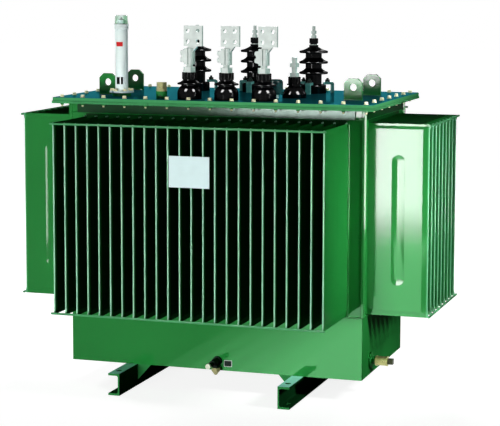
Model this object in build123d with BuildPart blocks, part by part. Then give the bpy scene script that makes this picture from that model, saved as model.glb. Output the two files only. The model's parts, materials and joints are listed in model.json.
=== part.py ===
from build123d import *
import os

# Tank: floor, plain lower box and corrugated upper walls
tank_length = 1163.0
tank_depth = 620.0
floor_thickness = 8.0
wall_thickness = 5.0
lower_box_height = 236.0

# Skids: two channels under the tank, flanges outwards
skid_height = 84.0
skid_overhang = 182.5
skid_flange_width = 45.0
skid_flange_thickness = 8.0
skid_web_thickness = 6.0
skid_root_radius = 7.0
skid_gauge = 670.0
skid_hole_end = 57.5
skid_hole_diameter = 22.0
skid_hole_setback = 23.0
gusset_reach = 55.0
gusset_drop = 62.0
gusset_thickness = 8.0
gusset_inset = 10.0

# Cooling fins pressed out of the wall sheets
fin_thickness = 8.0
fin_root_flare = 3.0
fin_root_length = 24.0
fin_tip_length = 24.0
fin_fold_radius = 2.8
fin_height = 715.0
fin_lift = 3.0
fin_head_room = 52.0
front_fin_pitch = 45.0
front_fin_depth = 308.0
front_fin_margin = 62.0
side_fin_pitch = 60.0
side_fin_depth = 230.0
side_fin_margin = 65.0
crimp_thickness = 3.0
crimp_height = 8.0
crimp_taper = 24.0
crimp_flare = 3.0
rod_diameter = 8.0
rod_overhang = 6.0
weld_gap = 0.2
bead_length = 485.0
bead_width = 50.0
bead_depth = 1.8

# Bolted top: angle frame, gasket and cover plate
cover_side_overhang = 50.5
cover_front_overhang = 66.0
cover_thickness = 11.0
cover_corner_radius = 12.0
cover_edge_round = 2.5
flange_thickness = 8.0
gasket_thickness = 4.0
gasket_inset = 2.0
angle_leg_drop = 37.0
angle_leg_thickness = 8.0
angle_leg_inset = 31.0

# Lifting lugs welded to the cover
lug_end_distance = 136.0
lug_edge_distance = 234.0
lug_width = 70.0
lug_height = 82.0
lug_thickness = 12.0
lug_corner = 17.0
lug_hole_diameter = 28.0
lug_hole_height = 48.0

# High-voltage bushings with sheds, in the rear row
hv_spacing = 245.0
hv_edge_distance = 186.0
hv_base_radius = 50.0
hv_base_height = 34.0
hv_base_round = 5.0
hv_trunk_radius = 32.0
hv_shed_count = 3
hv_shed_radius = 57.0
hv_shed_rim = 9.0
hv_shed_round = 4.0
hv_shed_rise = 15.0
hv_shed_hollow = 2.5
hv_shed_undercut = 3.0
hv_first_shed_height = 80.0
hv_shed_pitch = 41.5
hv_shoulder_rise = 16.0
hv_collar_radius = 18.0
hv_collar_height = 7.0
hv_neck_radius = 14.0
hv_neck_height = 6.5
hv_cap_radius = 17.5
hv_cap_height = 20.0
hv_cap_round = 2.0
hv_stud_radius = 6.0
hv_stud_height = 48.0
hv_nut_width = 19.0
hv_nut_height = 12.0
hv_nut_gap = 6.0

# Bridge clamps that hold each high-voltage bushing by its foot
clamp_count = 3
clamp_inner_radius = 40.0
clamp_outer_radius = 82.0
clamp_leg_thickness = 10.0
clamp_arm_thickness = 10.0
clamp_width = 20.0
clamp_bend_radius = 9.0

# Low-voltage bushings in the front row, and the neutral behind them
lv_spacing = 147.5
lv_edge_distance = 91.0
lv_middle_x = 43.0
lv_base_radius = 46.0
lv_base_height = 20.0
lv_bell_bulge = 4.0
lv_waist_radius = 31.0
lv_waist_height = 50.0
lv_shed_radius = 46.0
lv_shed_height = 58.0
lv_shed_rim = 6.0
lv_shed_round = 2.5
lv_shed_hollow = 1.5
lv_top_radius = 25.0
lv_top_rise = 10.0
lv_body_height = 75.0
gland_radius = 28.0
gland_height = 26.0
gland_flute_count = 12
gland_flute_radius = 4.0
lv_nut_width = 41.0
lv_nut_height = 20.0
lv_stud_radius = 12.0
lv_stud_setback = 16.0
neutral_x = 250.0
neutral_y = -90.0
neutral_base_height = 15.0
neutral_bulge = 3.5
neutral_top_radius = 22.0
neutral_shoulder_height = 44.0
neutral_washer_radius = 29.0
neutral_washer_height = 4.0
neutral_body_height = 53.0
neutral_gland_radius = 24.0
neutral_gland_height = 27.0
neutral_stud_radius = 10.0
neutral_stud_height = 75.0
neutral_nut_width = 32.0
neutral_nut_height = 16.0
neutral_nut_gap = 21.0

# Low-voltage flag connectors clamped on the studs
flag_width = 73.0
flag_height = 77.0
flag_thickness = 13.0
flag_offset = 16.0
flag_hole_spacing = 40.0
flag_hole_diameter = 14.0
barrel_radius = 21.0
barrel_height = 60.0
barrel_lift = 10.0
jaw_reach = 25.0
jaw_depth = 40.0
jaw_end_height = 40.0
jaw_slit = 3.0
flag_neck_width = 36.0
flag_neck_depth = 26.0
flag_neck_height = 8.0
flag_web_drop = 12.0
stud_clearance = 0.2

# Oil filler and level pipe
pipe_end_distance = 227.0
pipe_edge_distance = 151.0
pipe_radius = 24.5
pipe_wall = 3.0
pipe_height = 234.0
pipe_flange_radius = 46.5
pipe_flange_thickness = 7.0
pipe_neck_radius = 36.0
pipe_neck_height = 14.0
window_width = 27.0
window_height = 28.0
upper_window_height = 174.0
lower_window_height = 39.5
sight_clearance = 0.2
collar_radius = 27.5
collar_height = 14.0
collar_round = 4.0
dome_radius = 26.5
dome_top_radius = 23.5
dome_height = 43.0
dome_wall = 3.0
dome_round = 4.0

# Thermometer pocket with its plug, in line with the low-voltage bushings
pocket_x = -217.0
pocket_radius = 21.0
pocket_height = 27.0
pocket_rim_radius = 20.0
pocket_rim_height = 10.0
plug_width = 36.0
plug_height = 24.0

# Tap-changer drive under its round cap
tap_x = 192.5
tap_y = -145.0
tap_neck_radius = 12.0
tap_neck_height = 15.0
tap_rim_radius = 31.0
tap_rim_height = 6.0
tap_cap_radius = 28.0
tap_cap_height = 57.0
tap_cap_round = 13.0

# Drain valve low on the front wall
valve_x = 16.0
valve_rise = 36.0
valve_boss_radius = 18.0
valve_boss_thickness = 8.0
valve_body_radius = 13.0
valve_body_length = 52.0
valve_stem_radius = 7.0
valve_stem_length = 38.0
valve_knob_radius = 10.0
valve_knob_length = 12.0
valve_outlet_radius = 10.0
valve_outlet_drop = 22.0
valve_outlet_setback = 20.0
valve_cap_width = 30.0
valve_cap_height = 13.0
valve_cap_dome = 14.0
valve_cap_tip_radius = 5.0

# Sampling fitting low on the right wall
fitting_corner_distance = 125.0
fitting_rise = 53.0
fitting_boss_radius = 30.0
fitting_boss_thickness = 8.0
fitting_neck_radius = 14.0
fitting_neck_length = 15.0
fitting_body_radius = 17.5
fitting_body_length = 34.0
fitting_ring_radius = 19.0
fitting_ring_length = 6.0
fitting_end_width = 20.0
fitting_end_length = 21.0

# Levels, faces and places that the pieces share
cut_overrun = 10.0
front_face = tank_depth / 2
side_face = tank_length / 2
tank_bottom = skid_height
lower_box_top = tank_bottom + lower_box_height
fin_bottom = lower_box_top + fin_lift
fin_top = fin_bottom + fin_height
fin_middle = (fin_bottom + fin_top) / 2
wall_top = fin_top + fin_head_room
flange_top = wall_top + flange_thickness
cover_bottom = flange_top + gasket_thickness
cover_top = cover_bottom + cover_thickness
cover_length = tank_length + 2 * cover_side_overhang
cover_depth = tank_depth + 2 * cover_front_overhang
inner_depth = tank_depth - 2 * wall_thickness
skid_length = tank_depth + 2 * skid_overhang
skid_hole_span = skid_length - 2 * skid_hole_end
gusset_span = tank_depth - 2 * gusset_inset
front_fin_count = int((tank_length - 2 * front_fin_margin) // front_fin_pitch) + 1
side_fin_count = int((tank_depth - 2 * side_fin_margin) // side_fin_pitch) + 1
lug_x = cover_length / 2 - lug_end_distance
lug_y = cover_depth / 2 - lug_edge_distance
hv_row_y = cover_depth / 2 - hv_edge_distance
lv_row_y = lv_edge_distance - cover_depth / 2
pipe_x = pipe_end_distance - cover_length / 2
pipe_y = pipe_edge_distance - cover_depth / 2
valve_z = tank_bottom + valve_rise
fitting_y = fitting_corner_distance - front_face
fitting_z = tank_bottom + fitting_rise
hv_places = [(hv_spacing * step, hv_row_y) for step in (-1, 0, 1)]
lv_places = [(lv_middle_x + lv_spacing * step, lv_row_y) for step in (-1, 0, 1)]
lug_places = {
    "front_left": (-lug_x, -lug_y),
    "front_right": (lug_x, -lug_y),
    "rear_left": (-lug_x, lug_y),
    "rear_right": (lug_x, lug_y),
}
CENTRE_BOTTOM = (Align.CENTER, Align.CENTER, Align.MIN)

os.makedirs("parts", exist_ok=True)


def save(piece, name):
    """Labels a finished piece and writes its file."""
    piece.part.label = name
    export_step(piece.part, "parts/" + name + ".step")


def turned(piece, angle):
    """A copy of a piece that faces -Y, turned about the upright axis."""
    with BuildPart() as copy:
        add(piece.part, rotation=(0, 0, angle))
    return copy


def placed(piece, x, y):
    """A copy of a piece modelled on the origin, set on the cover."""
    with BuildPart() as copy:
        with Locations((x, y, cover_top)):
            add(piece.part)
    return copy


def spun(outline):
    """A solid of revolution about Z from (radius, height) points that start and end on the axis."""
    with BuildPart() as body:
        with BuildSketch(Plane.XZ):
            with BuildLine():
                Polyline(*outline, close=True)
            make_face()
        revolve(axis=Axis.Z)
    return body


# Skids with welded gussets
def skid(side):
    """A channel whose web faces the middle and whose flanges point outwards on the given side."""
    web_face = side * (skid_gauge / 2 - skid_hole_setback)
    outer_edge = web_face + side * skid_flange_width
    web_back = web_face + side * skid_web_thickness
    with BuildPart() as body:
        with BuildSketch(Plane.XZ):
            with BuildLine():
                Polyline(
                    (web_face, 0),
                    (outer_edge, 0),
                    (outer_edge, skid_flange_thickness),
                    (web_back, skid_flange_thickness),
                    (web_back, skid_height - skid_flange_thickness),
                    (outer_edge, skid_height - skid_flange_thickness),
                    (outer_edge, skid_height),
                    (web_face, skid_height),
                    close=True,
                )
            make_face()
            fillet(vertices().sort_by_distance((web_back, skid_height / 2))[:2], skid_root_radius)
        extrude(amount=skid_length / 2, both=True)
        for end in (-1, 1):
            with BuildSketch(Plane.XZ.offset(end * gusset_span / 2)):
                with BuildLine():
                    Polyline(
                        (web_face, skid_height),
                        (web_face - side * gusset_reach, skid_height),
                        (web_face, skid_height - gusset_drop),
                        close=True,
                    )
                make_face()
            extrude(amount=gusset_thickness / 2, both=True)
        with Locations((side * skid_gauge / 2, 0, skid_height / 2)):
            with GridLocations(skid_gauge, skid_hole_span, 1, 2):
                Cylinder(skid_hole_diameter / 2, skid_height + cut_overrun, mode=Mode.SUBTRACT)
    return body


save(skid(-1), "left_skid")
save(skid(1), "right_skid")

# Tank floor and plain lower walls
with BuildPart() as tank_floor:
    with Locations((0, 0, tank_bottom)):
        Box(tank_length, tank_depth, floor_thickness, align=CENTRE_BOTTOM)
save(tank_floor, "tank_floor")


def lower_wall(width, face):
    """A plain wall of the lower box that faces -Y."""
    with BuildPart() as wall:
        with Locations((0, -face, tank_bottom + floor_thickness)):
            Box(
                width,
                wall_thickness,
                lower_box_height - floor_thickness,
                align=(Align.CENTER, Align.MIN, Align.MIN),
            )
    return wall


front_lower_wall = lower_wall(tank_length, front_face)
side_lower_wall = lower_wall(inner_depth, side_face)
save(front_lower_wall, "front_lower_wall")
save(turned(front_lower_wall, 180), "rear_lower_wall")
save(turned(side_lower_wall, 90), "right_lower_wall")
save(turned(side_lower_wall, -90), "left_lower_wall")


# Corrugated walls: fins pressed flat at both ends, joined by round rods along their tips
def cooling_fin(face, depth):
    """One fin that stands out towards -Y, flared at its root and drawn in to its fold."""
    tip = face + depth
    fold_line = fin_fold_radius - tip
    half = fin_thickness / 2
    root_half = half + fin_root_flare
    root_end = -face - fin_root_length
    pressed_half = crimp_thickness / 2
    flare_tip = tip + crimp_flare
    crimp_line = crimp_height + crimp_taper
    with BuildPart() as fin:
        with BuildSketch(Plane.XY.offset(fin_bottom)):
            with BuildLine():
                Polyline(
                    (root_half, -face),
                    (half, root_end),
                    (half, fin_tip_length - tip),
                    (fin_fold_radius, fold_line),
                    (-fin_fold_radius, fold_line),
                    (-half, fin_tip_length - tip),
                    (-half, root_end),
                    (-root_half, -face),
                    close=True,
                )
            make_face()
            with Locations((0, fold_line)):
                Circle(fin_fold_radius)
        extrude(amount=fin_height)
        with BuildSketch(Plane.XZ.offset(face)):
            with BuildLine():
                Polyline(
                    (pressed_half, fin_bottom),
                    (pressed_half, fin_bottom + crimp_height),
                    (root_half, fin_bottom + crimp_line),
                    (root_half, fin_top - crimp_line),
                    (pressed_half, fin_top - crimp_height),
                    (pressed_half, fin_top),
                    (-pressed_half, fin_top),
                    (-pressed_half, fin_top - crimp_height),
                    (-root_half, fin_top - crimp_line),
                    (-root_half, fin_bottom + crimp_line),
                    (-pressed_half, fin_bottom + crimp_height),
                    (-pressed_half, fin_bottom),
                    close=True,
                )
            make_face()
        extrude(amount=depth, mode=Mode.INTERSECT)
        with BuildSketch(Plane.YZ):
            with BuildLine():
                Polyline(
                    (-face, fin_bottom),
                    (-flare_tip, fin_bottom),
                    (-flare_tip, fin_bottom + crimp_height),
                    (fold_line, fin_bottom + crimp_line),
                    (fold_line, fin_top - crimp_line),
                    (-flare_tip, fin_top - crimp_height),
                    (-flare_tip, fin_top),
                    (-face, fin_top),
                    close=True,
                )
            make_face()
        extrude(amount=pressed_half, both=True)
    return fin


def bead_tool(press_radius):
    """A round-ended bar whose shallow bite leaves the long bead in an end fin."""
    with BuildPart() as tool:
        with BuildSketch(Plane.XZ):
            SlotCenterToCenter(bead_length - bead_width, 2 * press_radius, rotation=90)
            Rectangle(
                press_radius,
                bead_length + 2 * press_radius,
                align=(Align.MAX, Align.CENTER),
                mode=Mode.SUBTRACT,
            )
        revolve(axis=Axis.Z)
    return tool


def fin_wall(width, face, count, pitch, depth):
    """A wall sheet that faces -Y, with its fins, the beads of its end fins and its two tip rods."""
    fin = cooling_fin(face, depth)
    press_radius = (bead_width**2 / 4 + bead_depth**2) / (2 * bead_depth)
    tool = bead_tool(press_radius)
    half_bank = pitch * (count - 1) / 2
    end_face = half_bank + fin_thickness / 2
    rod_radius = rod_diameter / 2
    rod_axis = face + depth + crimp_flare + weld_gap + rod_radius
    with BuildPart() as wall:
        with GridLocations(pitch, pitch, count, 1):
            add(fin.part)
        for side in (-1, 1):
            press_axis = side * (end_face + press_radius - bead_depth)
            with Locations((press_axis, -face - depth / 2, fin_middle)):
                add(tool.part, mode=Mode.SUBTRACT)
        with Locations((0, -face, lower_box_top)):
            Box(
                width,
                wall_thickness,
                wall_top - lower_box_top,
                align=(Align.CENTER, Align.MIN, Align.MIN),
            )
        with Locations(
            (0, -rod_axis, fin_bottom + rod_radius),
            (0, -rod_axis, fin_top - rod_radius),
        ):
            Cylinder(rod_radius, 2 * (end_face + rod_overhang), rotation=(0, 90, 0))
    return wall


front_fin_wall = fin_wall(tank_length, front_face, front_fin_count, front_fin_pitch, front_fin_depth)
side_fin_wall = fin_wall(inner_depth, side_face, side_fin_count, side_fin_pitch, side_fin_depth)
save(front_fin_wall, "front_fin_wall")
save(turned(front_fin_wall, 180), "rear_fin_wall")
save(turned(side_fin_wall, 90), "right_fin_wall")
save(turned(side_fin_wall, -90), "left_fin_wall")


# Angle frame round the tank top, gasket and cover
def top_angle(face, edge, flange_length, leg_length):
    """An angle bar that faces -Y: a flange under the cover's rim and a leg down the wall."""
    with BuildPart() as bar:
        with Locations((0, -edge, wall_top)):
            Box(
                flange_length,
                edge - face + wall_thickness,
                flange_thickness,
                align=(Align.CENTER, Align.MIN, Align.MIN),
            )
        with Locations((0, -face, wall_top)):
            Box(
                leg_length,
                angle_leg_thickness,
                angle_leg_drop,
                align=(Align.CENTER, Align.MAX, Align.MAX),
            )
    return bar


front_top_angle = top_angle(front_face, cover_depth / 2, cover_length, tank_length - 2 * angle_leg_inset)
side_top_angle = top_angle(side_face, cover_length / 2, inner_depth, tank_depth - 2 * angle_leg_inset)
save(front_top_angle, "front_top_angle")
save(turned(front_top_angle, 180), "rear_top_angle")
save(turned(side_top_angle, 90), "right_top_angle")
save(turned(side_top_angle, -90), "left_top_angle")

with BuildPart() as cover_gasket:
    with BuildSketch(Plane.XY.offset(flange_top)):
        Rectangle(cover_length - 2 * gasket_inset, cover_depth - 2 * gasket_inset)
        Rectangle(tank_length - 2 * wall_thickness, inner_depth, mode=Mode.SUBTRACT)
    extrude(amount=gasket_thickness)
save(cover_gasket, "cover_gasket")

with BuildPart() as cover:
    with BuildSketch(Plane.XY.offset(cover_bottom)):
        RectangleRounded(cover_length, cover_depth, cover_corner_radius)
    extrude(amount=cover_thickness)
    fillet(cover.faces().sort_by(Axis.Z)[-1].edges(), cover_edge_round)
save(cover, "cover")

# Lifting lugs
with BuildPart() as lifting_lug:
    with BuildSketch(Plane.XZ):
        Rectangle(lug_width, lug_height, align=(Align.CENTER, Align.MIN))
        chamfer(vertices().group_by(Axis.Y)[-1], lug_corner)
        with Locations((0, lug_hole_height)):
            Circle(lug_hole_diameter / 2, mode=Mode.SUBTRACT)
    extrude(amount=lug_thickness / 2, both=True)
for lug_name, (x, y) in lug_places.items():
    save(placed(lifting_lug, x, y), lug_name + "_lifting_lug")


# High-voltage bushings: porcelain with sheds, threaded terminal and foot clamps
last_rim_top = hv_first_shed_height + hv_shed_pitch * (hv_shed_count - 1) + hv_shed_rim / 2
collar_bottom = last_rim_top + hv_shoulder_rise
neck_bottom = collar_bottom + hv_collar_height
cap_bottom = neck_bottom + hv_neck_height
hv_top = cap_bottom + hv_cap_height
with BuildPart() as hv_porcelain:
    with BuildSketch(Plane.XZ):
        with BuildLine():
            trunk_start = (hv_trunk_radius, hv_base_height)
            Polyline(
                (0, hv_top), (0, 0), (hv_base_radius, 0), (hv_base_radius, hv_base_height), trunk_start
            )
            for shed in range(hv_shed_count):
                rim_bottom = hv_first_shed_height + hv_shed_pitch * shed - hv_shed_rim / 2
                rim_top = rim_bottom + hv_shed_rim
                trunk_end = (hv_trunk_radius, rim_top + hv_shed_rise)
                if shed == hv_shed_count - 1:
                    trunk_end = (hv_collar_radius, collar_bottom)
                Polyline(
                    trunk_start,
                    (hv_trunk_radius, rim_bottom + hv_shed_undercut),
                    (hv_shed_radius, rim_bottom),
                    (hv_shed_radius, rim_top),
                )
                SagittaArc((hv_shed_radius, rim_top), trunk_end, hv_shed_hollow)
                trunk_start = trunk_end
            Polyline(
                trunk_start,
                (hv_collar_radius, neck_bottom),
                (hv_neck_radius, neck_bottom),
                (hv_neck_radius, cap_bottom),
                (hv_cap_radius, cap_bottom),
                (hv_cap_radius, hv_top),
                (0, hv_top),
            )
        make_face()
        rim_inside = hv_shed_radius - hv_shed_round
        fillet(vertices().filter_by(lambda corner: corner.X > rim_inside), hv_shed_round)
        fillet(vertices().sort_by_distance((hv_base_radius, hv_base_height))[0], hv_base_round)
        fillet(vertices().sort_by_distance((hv_cap_radius, hv_top))[0], hv_cap_round)
    revolve(axis=Axis.Z)


def threaded_terminal(bottom, stud_radius, stud_height, nut_width, nut_height, nut_gap):
    """A stud that stands at the given height, with two hexagon nuts a cable lug's width apart."""
    with BuildPart() as terminal:
        with Locations((0, 0, bottom)):
            Cylinder(stud_radius, stud_height, align=CENTRE_BOTTOM)
        for nut_bottom in (bottom, bottom + nut_height + nut_gap):
            with BuildSketch(Plane.XY.offset(nut_bottom)):
                RegularPolygon(nut_width / 2, 6, major_radius=False)
            extrude(amount=nut_height)
    return terminal


hv_terminal = threaded_terminal(
    hv_top, hv_stud_radius, hv_stud_height, hv_nut_width, hv_nut_height, hv_nut_gap
)
for number, (hv_x, hv_y) in enumerate(hv_places, 1):
    save(placed(hv_porcelain, hv_x, hv_y), "hv_bushing_" + str(number))
    save(placed(hv_terminal, hv_x, hv_y), "hv_terminal_" + str(number))

clamp_top = hv_base_height + clamp_arm_thickness
with BuildPart() as foot_clamp:
    with BuildSketch(Plane.XZ):
        with BuildLine():
            Polyline(
                (clamp_outer_radius, 0),
                (clamp_outer_radius, clamp_top),
                (clamp_inner_radius, clamp_top),
                (clamp_inner_radius, hv_base_height),
                (clamp_outer_radius - clamp_leg_thickness, hv_base_height),
                (clamp_outer_radius - clamp_leg_thickness, 0),
                close=True,
            )
        make_face()
        fillet(vertices().sort_by_distance((clamp_outer_radius, clamp_top))[0], clamp_bend_radius)
    extrude(amount=clamp_width / 2, both=True)

with BuildPart() as hv_clamps:
    for hv_x, hv_y in hv_places:
        with Locations((hv_x, hv_y, cover_top)):
            with PolarLocations(0, clamp_count, start_angle=-90):
                add(foot_clamp.part)
save(hv_clamps, "hv_clamps")

# Low-voltage bushings: bell-shaped porcelain, fluted gland nut, stud and flag connector
lv_rim_bottom = lv_shed_height - lv_shed_rim / 2
lv_rim_top = lv_shed_height + lv_shed_rim / 2
lv_shoulder_height = lv_rim_top + lv_top_rise
with BuildPart() as lv_porcelain:
    with BuildSketch(Plane.XZ):
        with BuildLine():
            Polyline((0, lv_body_height), (0, 0), (lv_base_radius, 0), (lv_base_radius, lv_base_height))
            SagittaArc(
                (lv_base_radius, lv_base_height), (lv_waist_radius, lv_waist_height), -lv_bell_bulge
            )
            Polyline(
                (lv_waist_radius, lv_waist_height),
                (lv_waist_radius, lv_rim_bottom),
                (lv_shed_radius, lv_rim_bottom),
                (lv_shed_radius, lv_rim_top),
            )
            SagittaArc((lv_shed_radius, lv_rim_top), (lv_top_radius, lv_shoulder_height), lv_shed_hollow)
            Polyline(
                (lv_top_radius, lv_shoulder_height),
                (lv_top_radius, lv_body_height),
                (0, lv_body_height),
            )
        make_face()
        fillet(vertices().sort_by_distance((lv_shed_radius, lv_shed_height))[:2], lv_shed_round)
    revolve(axis=Axis.Z)

washer_bottom = neutral_body_height - neutral_washer_height
with BuildPart() as neutral_porcelain:
    with BuildSketch(Plane.XZ):
        with BuildLine():
            Polyline(
                (0, neutral_body_height), (0, 0), (lv_base_radius, 0), (lv_base_radius, neutral_base_height)
            )
            SagittaArc(
                (lv_base_radius, neutral_base_height),
                (neutral_top_radius, neutral_shoulder_height),
                -neutral_bulge,
            )
            Polyline(
                (neutral_top_radius, neutral_shoulder_height),
                (neutral_top_radius, washer_bottom),
                (neutral_washer_radius, washer_bottom),
                (neutral_washer_radius, neutral_body_height),
                (0, neutral_body_height),
            )
        make_face()
    revolve(axis=Axis.Z)


def gland_nut(bottom, radius, height):
    """A fluted nut that closes the top of a bushing."""
    with BuildPart() as nut:
        with BuildSketch(Plane.XY.offset(bottom)):
            Circle(radius)
            with PolarLocations(radius, gland_flute_count):
                Circle(gland_flute_radius, mode=Mode.SUBTRACT)
        extrude(amount=height)
    return nut


lv_gland = gland_nut(lv_body_height, gland_radius, gland_height)
neutral_gland = gland_nut(neutral_body_height, neutral_gland_radius, neutral_gland_height)
gland_top = lv_body_height + gland_height
barrel_bottom = gland_top + lv_nut_height + barrel_lift
barrel_top = barrel_bottom + barrel_height
barrel_middle = (barrel_bottom + barrel_top) / 2
flag_bottom = barrel_top + flag_neck_height

with BuildPart() as lv_stud:
    with Locations((0, 0, gland_top)):
        Cylinder(lv_stud_radius, barrel_top - lv_stud_setback - gland_top, align=CENTRE_BOTTOM)
    with BuildSketch(Plane.XY.offset(gland_top)):
        RegularPolygon(lv_nut_width / 2, 6, major_radius=False)
    extrude(amount=lv_nut_height)

with BuildPart() as lv_flag:
    with Locations((0, 0, barrel_bottom)):
        Cylinder(barrel_radius, barrel_height, align=CENTRE_BOTTOM)
    with BuildSketch(Plane.XZ):
        with BuildLine():
            Polyline(
                (0, barrel_bottom),
                (0, barrel_top),
                (-jaw_reach, barrel_middle + jaw_end_height / 2),
                (-jaw_reach, barrel_middle - jaw_end_height / 2),
                close=True,
            )
        make_face()
    extrude(amount=jaw_depth / 2, both=True)
    with Locations((0, 0, barrel_middle)):
        Cylinder(lv_stud_radius + stud_clearance, barrel_height + cut_overrun, mode=Mode.SUBTRACT)
        Box(
            jaw_slit,
            barrel_radius + cut_overrun,
            barrel_height + cut_overrun,
            align=(Align.MIN, Align.MAX, Align.CENTER),
            mode=Mode.SUBTRACT,
        )
    with BuildSketch(Plane.XY.offset(barrel_top - flag_web_drop)):
        Rectangle(flag_neck_width, flag_neck_depth)
    with BuildSketch(Plane.XY.offset(flag_bottom)):
        with Locations((flag_offset, 0)):
            Rectangle(flag_neck_width, flag_thickness)
    loft()
    with BuildSketch(Plane.XZ):
        with Locations((flag_offset, flag_bottom + flag_height / 2)):
            Rectangle(flag_width, flag_height)
            with GridLocations(flag_hole_spacing, flag_hole_spacing, 2, 2):
                Circle(flag_hole_diameter / 2, mode=Mode.SUBTRACT)
    extrude(amount=flag_thickness / 2, both=True)

for number, (lv_x, lv_y) in enumerate(lv_places, 1):
    save(placed(lv_porcelain, lv_x, lv_y), "lv_bushing_" + str(number))
    save(placed(lv_flag, lv_x, lv_y), "lv_flag_connector_" + str(number))
save(placed(neutral_porcelain, neutral_x, neutral_y), "neutral_bushing")

with BuildPart() as gland_nuts:
    for lv_x, lv_y in lv_places:
        with Locations((lv_x, lv_y, cover_top)):
            add(lv_gland.part)
    with Locations((neutral_x, neutral_y, cover_top)):
        add(neutral_gland.part)
save(gland_nuts, "gland_nuts")

with BuildPart() as lv_studs:
    for lv_x, lv_y in lv_places:
        with Locations((lv_x, lv_y, cover_top)):
            add(lv_stud.part)
save(lv_studs, "lv_studs")

neutral_terminal = threaded_terminal(
    neutral_body_height + neutral_gland_height,
    neutral_stud_radius,
    neutral_stud_height,
    neutral_nut_width,
    neutral_nut_height,
    neutral_nut_gap,
)
save(placed(neutral_terminal, neutral_x, neutral_y), "neutral_terminal")

# Filler pipe with its sight tube behind two windows
pipe_bottom = pipe_neck_height + pipe_flange_thickness
pipe_top = pipe_bottom + pipe_height
pipe_bore = pipe_radius - pipe_wall
pipe_base = spun(
    [
        (0, 0),
        (pipe_neck_radius, 0),
        (pipe_neck_radius, pipe_neck_height),
        (pipe_flange_radius, pipe_neck_height),
        (pipe_flange_radius, pipe_bottom),
        (0, pipe_bottom),
    ]
)
save(placed(pipe_base, pipe_x, pipe_y), "filler_pipe_base")

with BuildPart() as filler_pipe:
    with BuildSketch(Plane.XY.offset(pipe_bottom)):
        Circle(pipe_radius)
        Circle(pipe_bore, mode=Mode.SUBTRACT)
    extrude(amount=pipe_height)
    for window_middle in (pipe_bottom + lower_window_height, pipe_bottom + upper_window_height):
        with BuildSketch(Plane.XZ):
            with Locations((0, window_middle)):
                Rectangle(window_width, window_height)
        extrude(amount=pipe_radius + cut_overrun, mode=Mode.SUBTRACT)
save(placed(filler_pipe, pipe_x, pipe_y), "filler_pipe")

with BuildPart() as sight_tube:
    with Locations((0, 0, pipe_bottom)):
        Cylinder(pipe_bore - sight_clearance, pipe_height, align=CENTRE_BOTTOM)
save(placed(sight_tube, pipe_x, pipe_y), "sight_tube")

collar_top = pipe_top + collar_height
with BuildPart() as pipe_collar:
    with Locations((0, 0, pipe_top)):
        Cylinder(collar_radius, collar_height, align=CENTRE_BOTTOM)
    fillet(pipe_collar.edges().filter_by(GeomType.CIRCLE), collar_round)
save(placed(pipe_collar, pipe_x, pipe_y), "filler_pipe_collar")

with BuildPart() as sight_dome:
    with Locations((0, 0, collar_top)):
        Cone(dome_radius, dome_top_radius, dome_height, align=CENTRE_BOTTOM)
    fillet(sight_dome.edges().group_by(Axis.Z)[-1], dome_round)
    offset(amount=-dome_wall, openings=sight_dome.faces().sort_by(Axis.Z)[0])
save(placed(sight_dome, pipe_x, pipe_y), "sight_dome")

# Thermometer pocket and its plug
with BuildPart() as thermometer_pocket:
    Cylinder(pocket_radius, pocket_height, align=CENTRE_BOTTOM)
save(placed(thermometer_pocket, pocket_x, lv_row_y), "thermometer_pocket")

with BuildPart() as thermometer_plug:
    with Locations((0, 0, pocket_height)):
        Cylinder(pocket_rim_radius, pocket_rim_height, align=CENTRE_BOTTOM)
    with BuildSketch(Plane.XY.offset(pocket_height + pocket_rim_height)):
        RegularPolygon(plug_width / 2, 6, major_radius=False)
    extrude(amount=plug_height)
save(placed(thermometer_plug, pocket_x, lv_row_y), "thermometer_plug")

# Tap-changer cap on its neck
with BuildPart() as tap_changer_cap:
    Cylinder(tap_neck_radius, tap_neck_height, align=CENTRE_BOTTOM)
    with Locations((0, 0, tap_neck_height)):
        Cylinder(tap_rim_radius, tap_rim_height, align=CENTRE_BOTTOM)
        Cylinder(tap_cap_radius, tap_cap_height, align=CENTRE_BOTTOM)
    fillet(tap_changer_cap.edges().group_by(Axis.Z)[-1], tap_cap_round)
save(placed(tap_changer_cap, tap_x, tap_y), "tap_changer_cap")

# Drain valve on the front wall, its outlet closed by a hexagon cap
valve_lengths = [
    (valve_boss_radius, valve_boss_thickness),
    (valve_body_radius, valve_body_length),
    (valve_stem_radius, valve_stem_length),
    (valve_knob_radius, valve_knob_length),
]
outlet_y = -front_face - valve_outlet_setback
with BuildPart() as drain_valve:
    reach = front_face
    for radius, length in valve_lengths:
        with BuildSketch(Plane.XZ.offset(reach)):
            with Locations((valve_x, valve_z)):
                Circle(radius)
        extrude(amount=length)
        reach += length
    with Locations((valve_x, outlet_y, valve_z)):
        Cylinder(
            valve_outlet_radius, valve_outlet_drop, align=(Align.CENTER, Align.CENTER, Align.MAX)
        )
save(drain_valve, "drain_valve")

with BuildPart() as drain_cap:
    with BuildSketch(Plane.XY.offset(valve_z - valve_outlet_drop)):
        with Locations((valve_x, outlet_y)):
            RegularPolygon(valve_cap_width / 2, 6, major_radius=False)
    extrude(amount=-valve_cap_height)
    with Locations((valve_x, outlet_y, valve_z - valve_outlet_drop - valve_cap_height)):
        Cone(
            valve_cap_tip_radius,
            valve_cap_width / 2,
            valve_cap_dome,
            align=(Align.CENTER, Align.CENTER, Align.MAX),
        )
save(drain_cap, "drain_cap")

# Sampling valve on a boss of the right wall
boss_end = side_face + fitting_boss_thickness
neck_end = boss_end + fitting_neck_length
boss_steps = [
    (side_face, fitting_boss_radius, fitting_boss_thickness),
    (boss_end, fitting_neck_radius, fitting_neck_length),
]
with BuildPart() as sampling_boss:
    for start, radius, length in boss_steps:
        with BuildSketch(Plane.YZ.offset(start)):
            with Locations((fitting_y, fitting_z)):
                Circle(radius)
        extrude(amount=length)
save(sampling_boss, "sampling_boss")

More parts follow.
